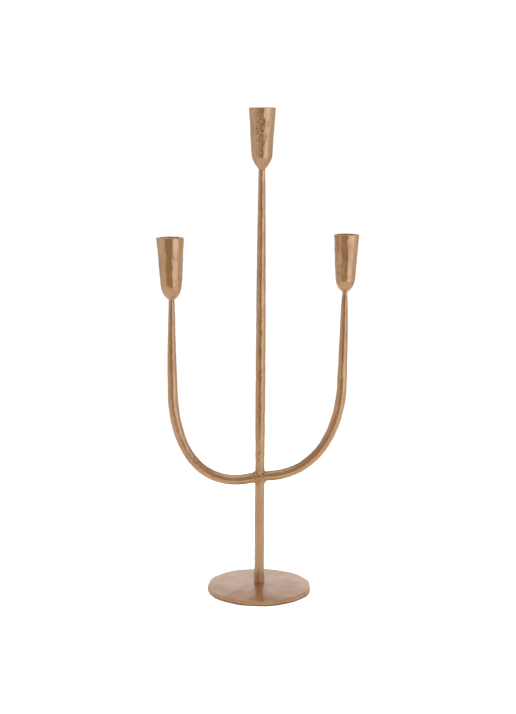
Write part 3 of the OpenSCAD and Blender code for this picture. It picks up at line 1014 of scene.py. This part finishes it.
def brass_material(name, finish, roughness, shine, long_grain=0.22, gloss=0.13, even_darkening=0.0):
    """Lacquered, hand-rubbed brass: browned hollows, clean ridges, fine marks along the work, and
    painted shade where the ridge mark is negative or an even darkening is asked for.
    """
    material = bpy.data.materials.new(name)
    t = Tree(material)
    grain = t.mark("grain", "Vector")
    # The ridge mark runs from 0 to 1 for how near a ridge a place is, for rubbed wear; below 0 it
    # is painted shade, used at the plate's edge.
    ridge = t.mark("ridge")
    worn = t.mark("rough")
    raw = t.node("ShaderNodeMath", {"operation": "MINIMUM"}, {0: worn, 1: 1.0})
    dull = t.between(worn, 1.0, 2.0)
    drawn = t.stretch(grain, (1, 1, long_grain))
    clouds = t.noise(drawn, 9 * MM, 3.0, 0.5, 0.4)
    patches = t.noise(grain, 22 * MM, 2.0, 0.5)
    streaks = t.noise(t.stretch(grain, (1, 1, 0.06)), 2.2 * MM, 1.0, 0.6)
    speckle = t.noise(grain, 1.9 * MM, 2.0, 0.6)
    browned = t.between(clouds * 0.6 + patches * 0.4, 0.40, 0.66)
    # Ridges are rubbed clean of browning; where the ridge mark is negative the browning is raised
    # instead, as painted shade.
    browned = browned * (1 - 0.75 * ridge) * 0.85
    colour = t.mix(browned, tuple(finish.brass), tuple(finish.tarnish))
    grains = t.between(speckle, 0.46, 0.60)
    colour = t.mix(raw * grains * 0.85, colour, tuple(finish.pale))
    colour = t.mix(raw * (1 - grains) * 0.3, colour, tuple(finish.tarnish))
    colour = t.mix(t.between(streaks, 0.52, 0.75) * 0.12, colour, tuple(finish.pale))
    # Painted shade: a negative ridge mark pulls the colour towards tarnish and thins the coat, and
    # the even darkening does the same over the whole piece.
    painted_edge_shade = t.between(0 - ridge, 0.0, 1.0)
    colour = t.mix(even_darkening + painted_edge_shade * (0.9 - even_darkening), colour, tuple(finish.tarnish))
    height = clouds * 0.5 + speckle * raw * 0.9
    bump = t.node("ShaderNodeBump", {}, {"Strength": 0.55, "Distance": 0.07 * MM,
                                         "Height": height})
    coat = shine * (1 - 0.2 * browned) * (1 - 0.4 * raw) * (1 - 0.5 * painted_edge_shade)
    worn_rough = 0.10 * browned + 0.16 * raw - 0.05 * ridge + 0.10 * (streaks - 0.5)
    t.surface(Base_Color=colour, Metallic=0.96 - 0.5 * dull, Roughness=roughness + worn_rough,
              IOR=1.5, Coat_Weight=coat, Coat_Roughness=gloss, Coat_IOR=2.4, Normal=bump)
    return material


def steel_material(finish):
    """Bright zinc-plated steel with fine turning marks and a little grey bloom."""
    material = bpy.data.materials.new("screw_steel")
    t = Tree(material)
    spot = t.node("ShaderNodeTexCoord", {}, {}, "Object")
    rings = t.noise(t.stretch(spot, (1, 1, 6)), 1.2 * MM, 2.0)
    bloom = t.noise(spot, 3 * MM, 3.0)
    base = tuple(finish.steel)
    colour = t.mix(t.between(bloom, 0.45, 0.7) * 0.5, base, tuple(0.6 * c for c in base))
    bump = t.node("ShaderNodeBump", {}, {"Strength": 0.3, "Distance": 0.03 * MM,
                                         "Height": rings})
    t.surface(Base_Color=colour, Metallic=1.0, Roughness=0.28 + 0.2 * bloom, Normal=bump)
    return material


def felt_material(finish):
    """Dense brown felt with a fibrous, slightly mottled face."""
    material = bpy.data.materials.new("felt")
    t = Tree(material)
    spot = t.node("ShaderNodeTexCoord", {}, {}, "Object")
    fibres = t.noise(t.stretch(spot, (1, 1, 0.5)), 0.5 * MM, 6.0, 0.75, 2.5)
    mottle = t.noise(spot, 6 * MM, 3.0)
    base = tuple(finish.felt)
    colour = t.mix(t.between(fibres, 0.35, 0.7), tuple(0.6 * c for c in base),
                   tuple(min(1, 1.5 * c) for c in base))
    colour = t.mix(mottle * 0.4, colour, base)
    bump = t.node("ShaderNodeBump", {}, {"Strength": 0.9, "Distance": 0.25 * MM,
                                         "Height": fibres})
    t.surface(Base_Color=colour, Roughness=0.92 + 0.06 * mottle, Sheen_Weight=0.35,
              Sheen_Roughness=0.5, Normal=bump)
    return material


# --- operators


class CANDELABRA_OT_bars(bpy.types.Operator):
    """Build the hammered stem and its two arms"""

    bl_idname = "candelabra.bars"
    bl_label = "Stem and arms"

    def execute(self, context):
        scene = context.scene
        bars, cups, finish = scene.candelabra_bars, scene.candelabra_cups, scene.candelabra_finish
        metal = brass_material("bar_brass", finish, finish.bar_rough, 0.95, even_darkening=0.25)
        stem = place("stem_skin", build_stem(bars, cups), metal, ["stem"], "bar_brass")
        bore(stem, ARMS, bars)
        for arm in ARMS:
            place(arm.name + "_skin", build_arm(bars, cups, arm), metal, [arm.name], "bar_brass")
        return {"FINISHED"}


class CANDELABRA_OT_braze(bpy.types.Operator):
    """Build the brazing metal where the arms join the stem"""

    bl_idname = "candelabra.braze"
    bl_label = "Brazed joint"

    def execute(self, context):
        scene = context.scene
        bars, finish = scene.candelabra_bars, scene.candelabra_finish
        metal = brass_material("braze", finish, finish.bar_rough + 0.05, 0.9, long_grain=1.0)
        for arm in ARMS:
            node = arm.name.replace("arm", "braze")
            place(node + "_skin", build_braze(bars, arm), metal, [node], "braze")
        return {"FINISHED"}


class CANDELABRA_OT_cups(bpy.types.Operator):
    """Build the three hammered cups"""

    bl_idname = "candelabra.cups"
    bl_label = "Cups"

    def execute(self, context):
        scene = context.scene
        cups, finish = scene.candelabra_cups, scene.candelabra_finish
        metal = brass_material("cup_brass", finish, finish.cup_rough, 0.95)
        for cup in CUPS:
            place(cup.name + "_skin", build_cup(cups, cup), metal, [cup.name], "cup_brass")
        return {"FINISHED"}


class CANDELABRA_OT_foot(bpy.types.Operator):
    """Build the round plate and its felt"""

    bl_idname = "candelabra.foot"
    bl_label = "Plate and felt"

    def execute(self, context):
        scene = context.scene
        foot, bars, finish = scene.candelabra_foot, scene.candelabra_bars, scene.candelabra_finish
        # The plate's even darkening is painted shade: its whole colour is pulled towards tarnish so
        # that it lights up less brightly.
        metal = brass_material("plate_brass", finish, finish.plate_rough, 1.0, long_grain=1.0,
                               gloss=0.20, even_darkening=0.45)
        place("base_plate_skin", build_plate(foot, bars), metal, ["base_plate"], "plate_brass")
        place("base_felt_disc", build_felt(), felt_material(finish), ["base_felt"], "felt")
        return {"FINISHED"}


class CANDELABRA_OT_screw(bpy.types.Operator):
    """Give the screw under the plate its steel"""

    bl_idname = "candelabra.screw"
    bl_label = "Screw"

    def execute(self, context):
        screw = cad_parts["base_screw"]
        screw.data.materials.clear()
        screw.data.materials.append(steel_material(context.scene.candelabra_finish))
        return {"FINISHED"}


class CANDELABRA_OT_studio(bpy.types.Operator):
    """Lay the floor, hang the lights and set up the camera"""

    bl_idname = "candelabra.studio"
    bl_label = "Studio"

    def execute(self, context):
        studio = context.scene.candelabra_studio
        self.lay_floor(studio)
        self.set_world(context.scene)
        self.hang_light("top_light", (0.1, -0.05, 4), (0, 0, 0), 3, studio.top_power)
        self.set_camera(context.scene, studio)
        context.scene.view_settings.view_transform = "Standard"
        return {"FINISHED"}

    @staticmethod
    def lay_floor(studio):
        """A round, plain, pale floor."""
        bm = bmesh.new()
        bmesh.ops.create_circle(bm, cap_ends=True, radius=studio.floor_r, segments=128)
        bmesh.ops.translate(bm, verts=bm.verts, vec=(0, 0, -0.0001))
        floor = add_object("floor", mesh_of("floor", bm))
        material = bpy.data.materials.new("floor_white")
        t = Tree(material)
        spot = t.node("ShaderNodeTexCoord", {}, {}, "Object")
        tooth = t.noise(spot, 2 * MM, 3.0)
        white = studio.floor_white
        colour = t.mix(tooth, (white, white, white), (white * 0.99, white * 0.99, white * 0.985))
        seen = t.node("ShaderNodeLightPath", {}, {}, "Is Camera Ray")
        colour = t.mix(seen, FLOOR_IN_METAL, colour)
        t.surface(Base_Color=colour, Roughness=0.9, Specular_IOR_Level=0.0)
        floor.data.materials.append(material)

    @staticmethod
    def set_world(scene):
        """Plain white to look at, with the softboxes and the dark end of a studio for the metal."""
        world = bpy.data.worlds.new("studio")
        scene.world = world
        t = Tree(world)
        way = t.node("ShaderNodeTexCoord", {}, {}, "Generated")
        x, y, z = (t.node("ShaderNodeSeparateXYZ", {}, {0: way}, i) for i in range(3))
        round_share = t.node("ShaderNodeMath", {"operation": "ARCTAN2"}, {0: x, 1: 0 - y})
        share = round_share / (2 * math.pi) + 0.5
        stops = [(angle / 360 + 0.5, level) for angle, level in ROOM_LIGHT]
        level = t.node("ShaderNodeValToRGB", {"stops": stops}, {"Fac": share}) * ROOM_LEVEL
        behind = t.between(y, 0.1, 0.6) * t.between(z, 0.0, 0.2)
        level = t.blend(behind, level, BACK_LEVEL)
        level = t.blend(t.between(z - 0.2 * y, 0.22, 0.5), level, UPPER_LEVEL)
        level = t.blend(t.between(z, 0.76, 0.92), level, CEILING_LEVEL)
        seen = t.node("ShaderNodeLightPath", {}, {}, "Is Camera Ray")
        level = t.blend(seen, level, SEEN_LEVEL)
        plain = t.node("ShaderNodeMath", {"operation": "MAXIMUM"}, {0: seen, 1: behind})
        tint = t.mix(plain, ROOM_TINT, WHITE)
        light = t.node("ShaderNodeBackground", {}, {"Color": tint, "Strength": level})
        t.node("ShaderNodeOutputWorld", {}, {"Surface": light})

    @staticmethod
    def hang_light(name, where, aim, size, power):
        """A soft square light."""
        data = bpy.data.lights.new(name, "AREA")
        data.size = size
        data.energy = power
        lamp = add_object(name, data)
        lamp.location = where
        lamp.visible_glossy = False
        lamp.rotation_euler = (Vector(where) - Vector(aim)).to_track_quat("Z", "Y").to_euler()

    @staticmethod
    def set_camera(scene, studio):
        """The camera, level but for its tilt and a slight lean."""
        data = bpy.data.cameras.new("camera")
        data.sensor_width = 36
        data.lens = studio.lens
        data.clip_start, data.clip_end = 0.05, 30
        camera = add_object("camera", data)
        turn = Matrix.Rotation(math.pi / 2 - studio.tilt, 4, "X") @ Matrix.Rotation(
            studio.roll, 4, "Z")
        camera.matrix_world = Matrix.Translation(studio.stand) @ turn
        scene.camera = camera


class CANDELABRA_PT_panel(bpy.types.Panel):
    """Lists the pieces of the candelabra"""

    bl_label = "Candelabra"
    bl_idname = "CANDELABRA_PT_panel"
    bl_space_type = "VIEW_3D"
    bl_region_type = "UI"
    bl_category = "Candelabra"

    def draw(self, context):
        for group in GROUPS:
            box = self.layout.box()
            box.label(text=group.__doc__)
            for key in group.__annotations__:
                box.prop(getattr(context.scene, GROUPS[group]), key)
        for step in STEPS:
            self.layout.operator(step.bl_idname)


GROUPS = {
    CandelabraBars: "candelabra_bars",
    CandelabraCups: "candelabra_cups",
    CandelabraFoot: "candelabra_foot",
    CandelabraFinish: "candelabra_finish",
    CandelabraStudio: "candelabra_studio",
}
STEPS = (CANDELABRA_OT_studio, CANDELABRA_OT_bars, CANDELABRA_OT_braze, CANDELABRA_OT_cups,
         CANDELABRA_OT_foot, CANDELABRA_OT_screw)
CLASSES = (*GROUPS, *STEPS, CANDELABRA_PT_panel)


def register():
    """Adds the classes and the settings to Blender."""
    for cls in CLASSES:
        bpy.utils.register_class(cls)
    for group, key in GROUPS.items():
        setattr(bpy.types.Scene, key, PointerProperty(type=group))


def unregister():
    """Takes the classes and the settings out again."""
    for key in GROUPS.values():
        delattr(bpy.types.Scene, key)
    for cls in reversed(CLASSES):
        bpy.utils.unregister_class(cls)


def main():
    """Builds everything in order."""
    register()
    for step in STEPS:
        group, name = step.bl_idname.split(".")
        getattr(getattr(bpy.ops, group), name)()


if __name__ == "__main__":
    main()
